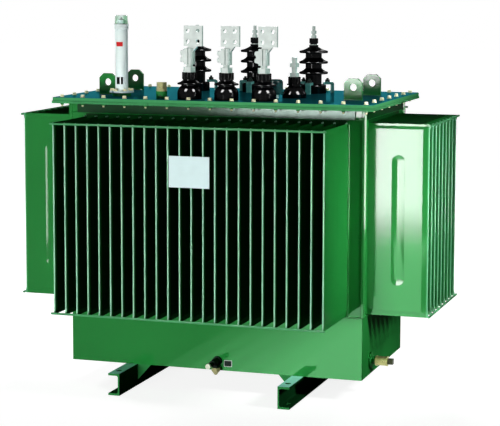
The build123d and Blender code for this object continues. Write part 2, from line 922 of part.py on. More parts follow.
valve_steps = [
    (fitting_ring_radius, fitting_ring_length),
    (fitting_body_radius, fitting_body_length),
    (fitting_ring_radius, fitting_ring_length),
]
with BuildPart() as sampling_valve:
    reach = neck_end
    for radius, length in valve_steps:
        with BuildSketch(Plane.YZ.offset(reach)):
            with Locations((fitting_y, fitting_z)):
                Circle(radius)
        extrude(amount=length)
        reach += length
    with BuildSketch(Plane.YZ.offset(reach)):
        with Locations((fitting_y, fitting_z)):
            Rectangle(fitting_end_width, fitting_end_width)
    extrude(amount=fitting_end_length)
save(sampling_valve, "sampling_valve")
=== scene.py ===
"""Looks of the power transformer: paint, glaze and metal, with its bolts, welds and plates."""
import json
import math

import bmesh
import bpy
from mathutils import Matrix, Vector

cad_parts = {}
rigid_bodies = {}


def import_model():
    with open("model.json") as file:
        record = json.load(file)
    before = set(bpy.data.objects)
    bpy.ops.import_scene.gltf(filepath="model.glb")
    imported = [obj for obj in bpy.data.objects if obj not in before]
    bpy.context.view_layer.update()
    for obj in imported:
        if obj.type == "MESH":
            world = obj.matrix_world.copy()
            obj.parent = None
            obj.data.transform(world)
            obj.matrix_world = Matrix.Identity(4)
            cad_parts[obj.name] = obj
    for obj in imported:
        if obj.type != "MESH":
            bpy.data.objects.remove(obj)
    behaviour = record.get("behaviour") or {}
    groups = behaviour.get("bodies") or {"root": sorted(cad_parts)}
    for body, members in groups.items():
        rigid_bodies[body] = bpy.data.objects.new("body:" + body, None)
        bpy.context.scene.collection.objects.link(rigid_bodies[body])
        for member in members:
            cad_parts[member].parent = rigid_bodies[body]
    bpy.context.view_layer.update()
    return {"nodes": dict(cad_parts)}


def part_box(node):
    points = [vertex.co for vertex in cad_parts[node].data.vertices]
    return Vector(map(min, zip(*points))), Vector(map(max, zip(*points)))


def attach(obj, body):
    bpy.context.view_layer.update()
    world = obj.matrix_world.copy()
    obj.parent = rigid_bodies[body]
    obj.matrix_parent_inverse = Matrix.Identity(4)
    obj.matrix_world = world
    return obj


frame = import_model()
nodes = frame["nodes"]

MM = 0.001
ROOT = "root"
WHITE = (1.0, 1.0, 1.0)

# Levels and places taken from the frame
cover_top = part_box("cover")[1].z
FLANGE_THICKNESS = 8 * MM
flange_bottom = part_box("front_top_angle")[1].z - FLANGE_THICKNESS
tank_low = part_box("tank_floor")[0]
tank_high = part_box("tank_floor")[1]
lower_box_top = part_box("front_lower_wall")[1].z
leg_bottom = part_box("front_top_angle")[0].z
pipe_low, pipe_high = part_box("filler_pipe")
pipe_middle = (pipe_low + pipe_high) / 2


# Node materials
def start_material(name):
    """A new node material with its tree and its main shader."""
    material = bpy.data.materials.new(name)
    material.use_nodes = True
    tree = material.node_tree
    return material, tree, tree.nodes["Principled BSDF"]


def set_sockets(shader, **values):
    """Sets constant values on the shader's own sockets, given with underscores for spaces."""
    for socket, value in values.items():
        shader.inputs[socket.replace("_", " ")].default_value = value


def object_noise(tree, scale, detail=2.0):
    """A noise over the object's own coordinates, at a scale per metre."""
    coordinates = tree.nodes.new("ShaderNodeTexCoord")
    noise = tree.nodes.new("ShaderNodeTexNoise")
    noise.inputs["Scale"].default_value = scale
    noise.inputs["Detail"].default_value = detail
    tree.links.new(coordinates.outputs["Object"], noise.inputs["Vector"])
    return noise.outputs["Fac"]


def part_of(tree, output, axis):
    """One component of the object's own coordinates ("Object") or of its surface normal ("Normal")."""
    coordinates = tree.nodes.new("ShaderNodeTexCoord")
    separate = tree.nodes.new("ShaderNodeSeparateXYZ")
    tree.links.new(coordinates.outputs[output], separate.inputs[0])
    return separate.outputs[axis]


def size_of(tree, output, axis):
    """One coordinate of a point or a normal, whichever way it points."""
    size = tree.nodes.new("ShaderNodeMath")
    size.operation = "ABSOLUTE"
    tree.links.new(part_of(tree, output, axis), size.inputs[0])
    return size.outputs[0]


def ranged(tree, source, from_low, from_high, low=0.0, high=1.0):
    """Maps a value from one range to another."""
    node = tree.nodes.new("ShaderNodeMapRange")
    for socket, value in zip(("From Min", "From Max", "To Min", "To Max"), (from_low, from_high, low, high)):
        node.inputs[socket].default_value = value
    tree.links.new(source, node.inputs["Value"])
    return node.outputs["Result"]


def ramp(tree, source, stops, kind="LINEAR"):
    """A colour ramp over a value, from (position, colour) stops."""
    node = tree.nodes.new("ShaderNodeValToRGB")
    node.color_ramp.interpolation = kind
    while len(node.color_ramp.elements) < len(stops):
        node.color_ramp.elements.new(1.0)
    for element, (position, colour) in zip(node.color_ramp.elements, stops):
        element.position = position
        element.color = (*colour, 1.0)
    tree.links.new(source, node.inputs["Fac"])
    return node.outputs["Color"]


def mixed(tree, blend, factor, first, second):
    """Mixes two colours, each a socket or a constant, by a factor that is one too."""
    node = tree.nodes.new("ShaderNodeMix")
    node.data_type = "RGBA"
    node.blend_type = blend
    colour_sockets = [socket for socket in node.inputs if socket.type == "RGBA"]
    sockets = (node.inputs[0], *colour_sockets)
    for socket, value in zip(sockets, (factor, first, second)):
        if isinstance(value, bpy.types.NodeSocket):
            tree.links.new(value, socket)
        elif isinstance(value, tuple):
            socket.default_value = (*value, 1.0)
        else:
            socket.default_value = value
    return [socket for socket in node.outputs if socket.type == "RGBA"][0]


def bump(tree, shader, height, strength, distance):
    """Feeds a height into the shader's normal, which it gives back."""
    node = tree.nodes.new("ShaderNodeBump")
    node.inputs["Strength"].default_value = strength
    node.inputs["Distance"].default_value = distance
    tree.links.new(height, node.inputs["Height"])
    tree.links.new(node.outputs["Normal"], shader.inputs["Normal"])
    return node.outputs["Normal"]


def sheen(tree, shader, normal, share, roughness, tint=WHITE):
    """Adds a gloss that sends back the same share of light, a constant or drawn, from every side."""
    mirror = tree.nodes.new("ShaderNodeBsdfGlossy")
    mirror.inputs["Color"].default_value = (*tint, 1.0)
    mirror.inputs["Roughness"].default_value = roughness
    tree.links.new(normal, mirror.inputs["Normal"])
    both = tree.nodes.new("ShaderNodeMixShader")
    if callable(share):
        tree.links.new(share(tree), both.inputs["Fac"])
    else:
        both.inputs["Fac"].default_value = share
    tree.links.new(shader.outputs[0], both.inputs[1])
    tree.links.new(mirror.outputs[0], both.inputs[2])
    tree.links.new(both.outputs[0], tree.nodes["Material Output"].inputs["Surface"])


NOISE_RANGE = (0.3, 0.7)
TONE_DETAIL = 3.0
POLISH_SCALE = 3.1


def finish_surface(name, colour, tone, roughness, grain, gloss=None, **sockets):
    """A surface whose tone, gloss and fine relief vary a little over the piece.

    colour is constant or a function that draws it in the tree, tone the noise scale and the share
    that it darkens and lightens, roughness a low and a high value, grain the scale, strength and
    depth of the relief, and gloss the share, the roughness and any tint of an even sheen.
    """
    material, tree, shader = start_material(name)
    set_sockets(shader, **sockets)
    tone_scale, tone_share = tone
    low, high = 1.0 - tone_share, 1.0 + tone_share
    patches = ranged(tree, object_noise(tree, tone_scale, TONE_DETAIL), *NOISE_RANGE, low, high)
    grey = tree.nodes.new("ShaderNodeCombineColor")
    for channel in ("Red", "Green", "Blue"):
        tree.links.new(patches, grey.inputs[channel])
    base = colour(tree) if callable(colour) else colour
    tree.links.new(mixed(tree, "MULTIPLY", 1.0, base, grey.outputs[0]), shader.inputs["Base Color"])
    polish = object_noise(tree, tone_scale * POLISH_SCALE)
    tree.links.new(ranged(tree, polish, *NOISE_RANGE, *roughness), shader.inputs["Roughness"])
    grain_scale, grain_strength, grain_depth = grain
    normal = bump(tree, shader, object_noise(tree, grain_scale), grain_strength, grain_depth)
    if gloss:
        sheen(tree, shader, normal, *gloss)
    return material


# Colours
GREEN = (0.014, 0.195, 0.034)
# Lighter green: painted light where edges, flange edges and fin folds catch the lamps
LIT_EDGE = (0.062, 0.32, 0.115)
# Teal: a painted reflection of the sky on the cover's top, also the tint of its mirror gloss
SKY_REFLECTION_TEAL = (0.015, 0.190, 0.235)
PALE = (0.86, 0.97, 0.95)
BLACK = (0.002, 0.002, 0.0025)
RED = (0.62, 0.02, 0.02)
# Pale green: a painted highlight on the front fins' folds
FOLD_HIGHLIGHT = (0.26, 0.56, 0.36)
# Pale green: a painted highlight on the side fins' folds
SIDE_FOLD_HIGHLIGHT = (0.15, 0.50, 0.26)
# Dark green: painted shade between the fins
GAP_SHADE = (0.003, 0.045, 0.008)
# Lighter green: a painted highlight on the fins' rods
ROD_HIGHLIGHT = (0.06, 0.28, 0.11)
# Dark green: painted shade on the legs of the angle bars under the cover
LEG_SHADE = (0.003, 0.04, 0.008)
LEG_TINT = (0.80, 1.0, 0.92)
# Dark green: painted shade on the skids' sides
SKID_SIDE_SHADE = (0.004, 0.040, 0.010)
SKID_END = (0.026, 0.20, 0.052)
# Pale teal: painted light on the skids' upper flanges
SKID_FLANGE_LIT = (0.36, 0.88, 0.74)
# Pale green: weld spots painted pale as a highlight
WELD_HIGHLIGHT = (0.13, 0.29, 0.18)
RUBBER = (0.045, 0.24, 0.085)
TIN = (0.72, 0.79, 0.75)
# Dull greener tin: painted shade on faces that point sideways
TIN_SIDE_SHADE = (0.36, 0.52, 0.46)
CLAMP = (0.10, 0.34, 0.30)
GLASS = (0.92, 1.0, 0.97)
# Green: a painted reflection on the dome's sides
GLASS_SIDE_REFLECTION = (0.36, 0.60, 0.43)
TAP_CAP = (0.010, 0.075, 0.075)
BRASS = (0.38, 0.37, 0.17)
VALVE_BRASS = (0.50, 0.50, 0.20)
VALVE_END = (0.05, 0.06, 0.03)
VALVE_CAP = (0.7, 0.75, 0.6)
VALVE_BODY = (0.008, 0.02, 0.012)
ZINC = (0.84, 0.80, 0.50)
STEEL = (0.02, 0.03, 0.025)
ENAMEL = (0.62, 0.78, 0.775)

# Shares of a normal between which a face counts as facing one way, and the lengths of the fades
FACING = (0.5, 0.95)
TOP_FACING = (0.8, 0.98)
TIN_FACING = (0.4, 0.95)
GLASS_FACING = (0.45, 0.8)
FLANGE_FADE = 2 * MM
SKID_FADE = 5 * MM
END_FIN_FADE = 1 * MM
GAP_FADE = 16 * MM
FOLD_INSIDE = 8 * MM
FOLD_OUTSIDE = 6 * MM
SHEEN_FADE = 2 * MM
STRIPE_REACH = 14 * MM
skid_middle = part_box("left_skid")[1].z / 2


def cover_colour(tree):
    """Painted light: a lighter green on the edges, and a painted reflection of the sky in teal where the
    plate faces up.
    """
    upward = ranged(tree, part_of(tree, "Normal", "Z"), *FACING)
    return mixed(tree, "MIX", upward, LIT_EDGE, SKY_REFLECTION_TEAL)


def leg_colour(tree):
    """Painted shade: dark green on the legs of the angle bars under the cover; a lighter green, painted
    light, on the edges of their flanges.
    """
    height = ranged(tree, part_of(tree, "Object", "Z"), flange_bottom - FLANGE_FADE, flange_bottom)
    return ramp(tree, height, [(0.0, LEG_SHADE), (1.0, LIT_EDGE)])


def skid_colour(tree):
    """Painted shade: dark on the sides; green on the cut ends and gussets; painted light: pale teal on the
    upper flanges.
    """
    lengthways = ranged(tree, size_of(tree, "Normal", "Y"), *FACING)
    upward = ranged(tree, part_of(tree, "Normal", "Z"), *FACING)
    height = ranged(tree, part_of(tree, "Object", "Z"), skid_middle - SKID_FADE, skid_middle + SKID_FADE)
    sides = mixed(tree, "MIX", lengthways, SKID_SIDE_SHADE, SKID_END)
    lit_tops = mixed(tree, "MIX", height, SKID_SIDE_SHADE, SKID_FLANGE_LIT)
    return mixed(tree, "MIX", upward, sides, lit_tops)


def tinned_colour(tree):
    """Pale tin, with painted shade, dull and greener, on the faces that point sideways."""
    share = ranged(tree, size_of(tree, "Normal", "X"), *TIN_FACING)
    return mixed(tree, "MIX", share, TIN, TIN_SIDE_SHADE)


def dome_colour(tree):
    """Glass that is clear in front and behind, with a painted green reflection on the sides that point along
    X.
    """
    share = ranged(tree, size_of(tree, "Normal", "X"), *GLASS_FACING)
    return mixed(tree, "MIX", share, GLASS, GLASS_SIDE_REFLECTION)


def reach(tree, axis):
    """How far a point lies from the middle of the part along one axis."""
    return size_of(tree, "Object", axis)


def fin_colour(axis, tip, lit, fold_highlight, across, end_fin):
    """Paint with painted shade between the fins and painted highlights along their folds and on the rods.

    The fins stand out along one axis to a tip, lit is how far in from it their sides stay green, the fourth
    argument is the pale highlight painted on the folds, and end_fin is where the last one stands across it.
    """
    def draw(tree):
        past_end = ranged(tree, reach(tree, across), end_fin - END_FIN_FADE, end_fin + END_FIN_FADE)
        # Fin sides: painted shade between the fins, green on the end fins' outer faces
        sides = mixed(tree, "MIX", past_end, GAP_SHADE, GREEN)
        outward = reach(tree, axis)
        along = ranged(tree, outward, tip - FOLD_INSIDE, tip + FOLD_OUTSIDE)
        # Folds: a painted highlight, lighter towards the tip, then the rods
        lit_folds = ramp(tree, along, [(0.0, GREEN), (0.30, LIT_EDGE), (0.5, fold_highlight), (0.75, fold_highlight), (0.82, ROD_HIGHLIGHT)])
        near_tip = ranged(tree, outward, tip - lit - GAP_FADE, tip - lit)
        return mixed(tree, "MIX", near_tip, sides, lit_folds)
    return draw


def fin_share(axis, tip):
    """The gloss of the fins: even on their sides, dull on the folds, which carry a painted highlight, and on
    the rods.
    """
    def draw(tree):
        return ranged(tree, reach(tree, axis), tip - SHEEN_FADE, tip, PAINT_SHEEN, WORN_SHEEN)
    return draw


def cover_share(tree):
    """The gloss of the cover: a mirror where it faces the sky, dull on its cut edges."""
    return ranged(tree, part_of(tree, "Normal", "Z"), *TOP_FACING, 0.0, COVER_MIRROR)


def leg_share(tree):
    """The gloss of the angle bars: even on the legs, dull on the cut edges of the flanges."""
    height = part_of(tree, "Object", "Z")
    return ranged(tree, height, flange_bottom - FLANGE_FADE, flange_bottom, LEG_SHEEN, 0.0)


def banded(axis, low, high, stops):
    """A colour in bands along one axis between two coordinates, from (share, colour) stops."""
    def draw(tree):
        share = ranged(tree, part_of(tree, "Object", axis), low, high)
        return ramp(tree, share, stops, "CONSTANT")
    return draw


def sight_colour(tree):
    """Red over white in the upper window, black with a white stripe in the lower one."""
    upper = ranged(tree, part_of(tree, "Object", "Z"), pipe_low.z, pipe_high.z)
    level = ramp(tree, upper, [(0.0, BLACK), (0.5, PALE), (0.728, RED)], "CONSTANT")
    left, right = pipe_middle.x - STRIPE_REACH, pipe_middle.x + STRIPE_REACH
    across = ranged(tree, part_of(tree, "Object", "X"), left, right)
    stripe = ramp(tree, across, [(0.0, BLACK), (0.52, WHITE), (0.68, BLACK)], "CONSTANT")
    lower = ramp(tree, upper, [(0.0, WHITE), (0.5, BLACK)], "CONSTANT")
    white_line = mixed(tree, "MULTIPLY", 1.0, stripe, lower)
    return mixed(tree, "LIGHTEN", 1.0, level, white_line)


DULL = {"Specular_IOR_Level": 0.0}


def glossy(share, roughness, tint=WHITE):
    """The settings of a dull coat under an even sheen."""
    return {**DULL, "gloss": (share, roughness, tint)}


# Gloss: the shares of light sent back, and the roughness of each gloss
PAINT_SHEEN = 0.009
LEG_SHEEN = 0.013
WORN_SHEEN = 0.002
GLAZE_SHEEN = 0.005
COVER_MIRROR = 0.6
PAINT_BLUR = 0.06
LEG_BLUR = 0.16
COVER_BLUR = 0.05
GLAZE_BLUR = 0.04
PAINT = glossy(PAINT_SHEEN, PAINT_BLUR)
WORN_PAINT = glossy(WORN_SHEEN, PAINT_BLUR)
LEGS = glossy(leg_share, LEG_BLUR, LEG_TINT)
COVER = glossy(cover_share, COVER_BLUR, SKY_REFLECTION_TEAL)
GLAZE = glossy(GLAZE_SHEEN, GLAZE_BLUR)

# Relief: scale per metre, strength and depth in metres
PEEL = (220.0, 0.10, 0.0004)
FINE = (800.0, 0.2, 0.0002)
ROLLED = (60.0, 0.25, 0.001)
SOFT = (500.0, 0.2, 0.0004)
GLAZED = (70.0, 0.06, 0.0004)
BLOWN = (60.0, 0.05, 0.0004)

# Places that the paint of the fins and the bands of the fittings follow
ROD_REACH = 11.2 * MM
FRONT_END_FIN = 517.5 * MM
SIDE_END_FIN = 240 * MM
FRONT_FIN_LIT = 6 * MM
SIDE_FIN_LIT = 24 * MM
FRONT_FIN_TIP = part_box("rear_fin_wall")[1].y - ROD_REACH
SIDE_FIN_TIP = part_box("right_fin_wall")[1].x - ROD_REACH
base_low, base_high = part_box("filler_pipe_base")
cap_low, cap_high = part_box("tap_changer_cap")
valve_low, valve_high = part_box("sampling_valve")
drain_low, drain_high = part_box("drain_valve")
front_fins = fin_colour("Y", FRONT_FIN_TIP, FRONT_FIN_LIT, FOLD_HIGHLIGHT, "X", FRONT_END_FIN)
side_fins = fin_colour("X", SIDE_FIN_TIP, SIDE_FIN_LIT, SIDE_FOLD_HIGHLIGHT, "Y", SIDE_END_FIN)
front_fin_gloss = glossy(fin_share("Y", FRONT_FIN_TIP), PAINT_BLUR)
side_fin_gloss = glossy(fin_share("X", SIDE_FIN_TIP), PAINT_BLUR)
pipe_base = banded("Z", base_low.z, base_high.z, [(0.0, GREEN), (0.66, PALE)])
tap_cap = banded("Z", cap_low.z, cap_high.z, [(0.0, PALE), (0.2, TAP_CAP)])
sampling_valve = banded("X", valve_low.x, valve_high.x, [(0.0, VALVE_BRASS), (0.69, VALVE_END)])
drain_valve = banded("Y", drain_low.y, drain_high.y, [(0.0, VALVE_CAP), (0.1, VALVE_BODY)])

# Colour, tone, roughness, relief and gloss or metal of each finish
TANK_TONE = (2.5, 0.08)
TANK_ROUGHNESS = (0.3, 0.4)
TINNED = {"Metallic": 0.35, "Specular_IOR_Level": 0.1}
CLAMPED = {"Metallic": 0.2, "Specular_IOR_Level": 0.1}
BLACKENED = {"Metallic": 0.5, "Specular_IOR_Level": 0.1}
CLEAR = {"Transmission_Weight": 0.85, "IOR": 1.3}
finishes = {
    "tank_paint": (GREEN, TANK_TONE, TANK_ROUGHNESS, PEEL, PAINT),
    "side_wall_paint": (GREEN, TANK_TONE, TANK_ROUGHNESS, PEEL, WORN_PAINT),
    "front_fin_shade_highlight_paint": (front_fins, TANK_TONE, TANK_ROUGHNESS, PEEL, front_fin_gloss),
    "side_fin_shade_highlight_paint": (side_fins, TANK_TONE, TANK_ROUGHNESS, PEEL, side_fin_gloss),
    "shaded_leg_paint": (leg_colour, TANK_TONE, TANK_ROUGHNESS, ROLLED, LEGS),
    "lug_paint": (GREEN, (6.0, 0.1), TANK_ROUGHNESS, PEEL, PAINT),
    "skid_paint": (skid_colour, (4.0, 0.14), (0.35, 0.5), PEEL, DULL),
    "weld_highlight_paint": (WELD_HIGHLIGHT, (30.0, 0.3), (0.4, 0.5), FINE, DULL),
    "cover_paint": (cover_colour, (3.0, 0.08), TANK_ROUGHNESS, PEEL, COVER),
    "gasket_rubber": (RUBBER, (20.0, 0.2), (0.5, 0.65), SOFT, DULL),
    "porcelain": (BLACK, (12.0, 0.3), (0.2, 0.3), GLAZED, GLAZE),
    "gland_plastic": (BLACK, (30.0, 0.25), (0.3, 0.4), FINE, GLAZE),
    "tinned_metal": (tinned_colour, (40.0, 0.08), (0.36, 0.5), FINE, TINNED),
    "clamp_metal": (CLAMP, (40.0, 0.2), (0.3, 0.45), FINE, CLAMPED),
    "pipe_paint": (PALE, (8.0, 0.04), (0.22, 0.32), PEEL, PAINT),
    "pipe_base_paint": (pipe_base, (8.0, 0.06), (0.25, 0.35), PEEL, PAINT),
    "tap_cap_paint": (tap_cap, (8.0, 0.1), (0.2, 0.3), PEEL, GLAZE),
    "dome_glass": (dome_colour, (25.0, 0.03), (0.03, 0.08), BLOWN, CLEAR),
    "brass": (BRASS, (60.0, 0.15), (0.25, 0.4), FINE, {"Metallic": 0.5}),
    "sampling_brass": (sampling_valve, (60.0, 0.15), (0.25, 0.4), FINE, {"Metallic": 0.8}),
    "valve_metal": (drain_valve, (50.0, 0.2), (0.3, 0.45), FINE, PAINT),
    "sight_plastic": (sight_colour, (40.0, 0.1), (0.2, 0.3), FINE, PAINT),
    "yellow_zinc": (ZINC, (70.0, 0.2), (0.28, 0.45), FINE, {"Metallic": 0.6}),
    "dark_steel": (STEEL, (70.0, 0.25), (0.3, 0.5), FINE, BLACKENED),
    "plate_enamel": (ENAMEL, (25.0, 0.03), (0.3, 0.4), FINE, DULL),
}
materials = {name: finish_surface(name, *look, **coat) for name, (*look, coat) in finishes.items()}

# Each node's slot in the record, and its material where that differs
node_slots = {
    "skid": "skid_paint",
    "cover": "cover_paint",
    "cover_gasket": "gasket_rubber",
    "hv_bushing": "porcelain",
    "lv_bushing": "porcelain",
    "neutral_bushing": "porcelain",
    "hv_terminal": "tinned_metal",
    "hv_clamps": "clamp_metal",
    "lv_flag_connector": "tinned_metal",
    "gland_nuts": "gland_plastic",
    "lv_studs": "tinned_metal",
    "neutral_terminal": "tinned_metal",
    "filler_pipe": "pipe_paint",
    "filler_pipe_base": "pipe_paint",
    "filler_pipe_collar": "pipe_paint",
    "sight_tube": "sight_plastic",
    "sight_dome": "dome_glass",
    "thermometer_plug": "brass",
    "tap_changer_cap": "cover_paint",
    "lifting_lug": "cover_paint",
    "drain_valve": "valve_metal",
    "drain_cap": "brass",
    "sampling_valve": "brass",
}
node_materials = {
    "filler_pipe_base": "pipe_base_paint",
    "tap_changer_cap": "tap_cap_paint",
    "sampling_valve": "sampling_brass",
}
LUG_CORNERS = ("front_left", "front_right", "rear_left", "rear_right")
for side in ("front", "rear", "left", "right"):
    node_materials[side + "_top_angle"] = "shaded_leg_paint"
    node_materials[side + "_fin_wall"] = "front_fin_shade_highlight_paint" if side in ("front", "rear") else "side_fin_shade_highlight_paint"
for side in ("left", "right"):
    node_materials[side + "_lower_wall"] = "side_wall_paint"
for corner in LUG_CORNERS:
    node_materials[corner + "_lifting_lug"] = "lug_paint"


def slot_of(node_name):
    """The slot of a CAD node: its own, or that of the family of pieces that it is one of."""
    if node_name in node_slots:
        return node_slots[node_name]
    for family, slot_name in node_slots.items():
        if node_name.startswith(family + "_") and node_name[len(family) + 1:].isdigit():
            return slot_name
        if node_name.endswith("_" + family):
            return slot_name
    return "tank_paint"


for node_name, node in nodes.items():
    slot_name = slot_of(node_name)
    node.data.materials.clear()
    node.data.materials.append(materials[node_materials.get(node_name, slot_name)])


# Mesh pieces
def new_piece(name, mesh_builder, material, smooth=False):
    """A piece of the object from a filled bmesh, riding on the fixed body."""
    mesh = bpy.data.meshes.new(name)
    bmesh.ops.recalc_face_normals(mesh_builder, faces=mesh_builder.faces)
    for face in mesh_builder.faces:
        face.smooth = smooth
    mesh_builder.to_mesh(mesh)
    mesh_builder.free()
    piece = bpy.data.objects.new(name, mesh)
    bpy.context.scene.collection.objects.link(piece)
    mesh.materials.append(materials[material])
    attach(piece, ROOT)
    return piece


def join_rings(builder, rings):
    """Skins a row of equal rings of points and closes both ends."""
    rows = [[builder.verts.new(point) for point in ring] for ring in rings]
    sides = len(rows[0])
    for lower, upper in zip(rows, rows[1:]):
        for step in range(sides):
            after = (step + 1) % sides
            builder.faces.new((lower[step], lower[after], upper[after], upper[step]))
    builder.faces.new(rows[0])
    builder.faces.new(rows[-1])


def lathe(builder, profile, place, sides):
    """Adds a closed solid of revolution from (radius, height) points that start and end off the axis."""
    rings = []
    for radius, height in profile:
        angles = [2 * math.pi * step / sides for step in range(sides)]
        rings.append([place @ Vector((radius * math.cos(a), radius * math.sin(a), height)) for a in angles])
    join_rings(builder, rings)


def at(x, y, z):
    """A place in the part's frame, upright."""
    return Matrix.Translation((x, y, z))


def middle_of(node_name):
    """The middle of a node's box."""
    low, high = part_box(node_name)
    return (low + high) / 2


def barrel(radius, height, edge):
    """The profile of a round bar or ring whose edges are broken at both ends."""
    return [(radius - edge, 0.0), (radius, edge), (radius, height - edge), (radius - edge, height)]


HEXAGON = 6
WASHER_SIDES = 20
STUD_SIDES = 14
THREAD_SIDES = 18
TURNED_SHARE = 0.95
BEVEL_SHARE = 0.14
CHAMFER_SHARE = 0.3


def add_nut(builder, place, across, nut, seat=0.0):
    """A hexagon nut or bolt head with its corners turned off, on a seat over z = 0 of the place."""
    radius = across / math.sqrt(3)
    turned = across / 2 * TURNED_SHARE
    top = seat + nut
    lathe(builder, [(radius, seat), (radius, top - BEVEL_SHARE * nut), (turned, top)], place, HEXAGON)


def add_bolt(builder, place, across, head, washer_radius, washer):
    """A washer with a hexagon head on it, on a seat at z = 0 of the place."""
    lathe(builder, [(washer_radius, 0.0), (washer_radius, washer)], place, WASHER_SIDES)
    add_nut(builder, place, across, head, washer)


def add_stud(builder, place, radius, height):
    """A plain threaded end with a chamfered tip, from z = 0 of the place."""
    chamfer = CHAMFER_SHARE * radius
    lathe(builder, [(radius, 0.0), (radius, height - chamfer), (radius - chamfer, height)], place, STUD_SIDES)


def add_thread(builder, place, radius, bottom, top, pitch, depth):
    """A sleeve of sharp ridges round a stud, between two heights of the place."""
    count = max(1, round((top - bottom) / pitch))
    step = (top - bottom) / count
    profile = [(radius, bottom)]
    for turn in range(count):
        profile.append((radius + depth, bottom + (turn + 0.5) * step))
        profile.append((radius, bottom + (turn + 1) * step))
    lathe(builder, profile, place, THREAD_SIDES)


WELD_STEP = 3.5 * MM
WELD_SIDES = 8
WELD_END_SHARE = 0.45
WELD_RIPPLE = 0.14
WELD_WAVES = (2.3, 0.41)


def add_weld(builder, start, end, radius, ripple=WELD_RIPPLE):
    """A rippled weld bead along a straight joint, sunk half into the corner that it fills."""
    start, end = Vector(start), Vector(end)
    along = (end - start).normalized()
    across = along.orthogonal().normalized()
    upward = along.cross(across)
    steps = max(2, round((end - start).length / WELD_STEP))
    rings = []
    for step in range(steps + 1):
        middle = start.lerp(end, step / steps)
        wave = math.sin(WELD_WAVES[0] * step) * math.cos(WELD_WAVES[1] * step)
        swell = radius * (WELD_END_SHARE if step in (0, steps) else 1.0 + ripple * (wave - 1.0))
        ring = []
        for side in range(WELD_SIDES):
            angle = 2 * math.pi * side / WELD_SIDES
            ring.append(middle + swell * (math.cos(angle) * across + math.sin(angle) * upward))
        rings.append(ring)
    join_rings(builder, rings)


# Cover bolts with their nuts under the flange
COVER_BOLT_SPAN_X = 1200 * MM
COVER_BOLT_SPAN_Y = 700 * MM
COVER_BOLTS_X = 15
COVER_BOLTS_Y = 7
BOLT_ACROSS = 13 * MM
BOLT_HEAD = 8 * MM
BOLT_WASHER_RADIUS = 8.5 * MM
BOLT_WASHER = 2 * MM
BOLT_NUT = 6.5 * MM
BOLT_THREAD_RADIUS = 4 * MM
BOLT_THREAD = 6 * MM
BOLT_TURN = 0.7


def rim_places():
    """The bolt places round the cover's rim, corners once."""
    places = []
    for step in range(COVER_BOLTS_X):
        x = COVER_BOLT_SPAN_X * (step / (COVER_BOLTS_X - 1) - 0.5)
        places += [(x, -COVER_BOLT_SPAN_Y / 2), (x, COVER_BOLT_SPAN_Y / 2)]
    for step in range(1, COVER_BOLTS_Y - 1):
        y = COVER_BOLT_SPAN_Y * (step / (COVER_BOLTS_Y - 1) - 0.5)
        places += [(-COVER_BOLT_SPAN_X / 2, y), (COVER_BOLT_SPAN_X / 2, y)]
    return places


builder = bmesh.new()
nuts = bmesh.new()
for number, (x, y) in enumerate(rim_places()):
    turn = Matrix.Rotation(BOLT_TURN * number, 4, "Z")
    under = at(x, y, flange_bottom) @ turn @ Matrix.Rotation(math.pi, 4, "X")
    add_bolt(builder, at(x, y, cover_top) @ turn, BOLT_ACROSS, BOLT_HEAD, BOLT_WASHER_RADIUS, BOLT_WASHER)
    add_stud(builder, under, BOLT_THREAD_RADIUS, BOLT_NUT + BOLT_THREAD)
    add_nut(nuts, under, BOLT_ACROSS, BOLT_NUT)
new_piece("cover_bolts", builder, "yellow_zinc")
new_piece("cover_nuts", nuts, "tank_paint")

# Studs and nuts on the foot clamps of the high-voltage bushings
CLAMP_BOLT_RADIUS = 57 * MM
CLAMP_BOLT_ACROSS = 17 * MM
CLAMP_BOLT_NUT = 8 * MM
CLAMP_BOLT_WASHER_RADIUS = 9.5 * MM
CLAMP_BOLT_THREAD_RADIUS = 5 * MM
CLAMP_BOLT_THREAD = 16 * MM
CLAMP_ANGLES = (-90, 30, 150)
HV_NUMBERS = (1, 2, 3)
clamp_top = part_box("hv_clamps")[1].z
builder = bmesh.new()
for number in HV_NUMBERS:
    axis = middle_of("hv_bushing_%d" % number)
    for angle in map(math.radians, CLAMP_ANGLES):
        x = axis.x + CLAMP_BOLT_RADIUS * math.cos(angle)
        y = axis.y + CLAMP_BOLT_RADIUS * math.sin(angle)
        place = at(x, y, clamp_top) @ Matrix.Rotation(angle, 4, "Z")
        add_bolt(builder, place, CLAMP_BOLT_ACROSS, CLAMP_BOLT_NUT, CLAMP_BOLT_WASHER_RADIUS, BOLT_WASHER)
        add_stud(builder, place, CLAMP_BOLT_THREAD_RADIUS, CLAMP_BOLT_THREAD)
new_piece("clamp_bolts", builder, "dark_steel")

# Bolts through the pipe's base flange
PIPE_BOLTS = 6
PIPE_BOLT_RADIUS = 37.5 * MM
PIPE_BOLT_ACROSS = 13 * MM
PIPE_BOLT_HEAD = 6 * MM
PIPE_BOLT_WASHER_RADIUS = 8 * MM
PIPE_BOLT_TURN = 0.2
builder = bmesh.new()
for number in range(PIPE_BOLTS):
    angle = 2 * math.pi * number / PIPE_BOLTS + PIPE_BOLT_TURN
    x = pipe_middle.x + PIPE_BOLT_RADIUS * math.cos(angle)
    y = pipe_middle.y + PIPE_BOLT_RADIUS * math.sin(angle)
    place = at(x, y, base_high.z) @ Matrix.Rotation(angle, 4, "Z")
    add_bolt(builder, place, PIPE_BOLT_ACROSS, PIPE_BOLT_HEAD, PIPE_BOLT_WASHER_RADIUS, BOLT_WASHER)
new_piece("pipe_flange_bolts", builder, "yellow_zinc")

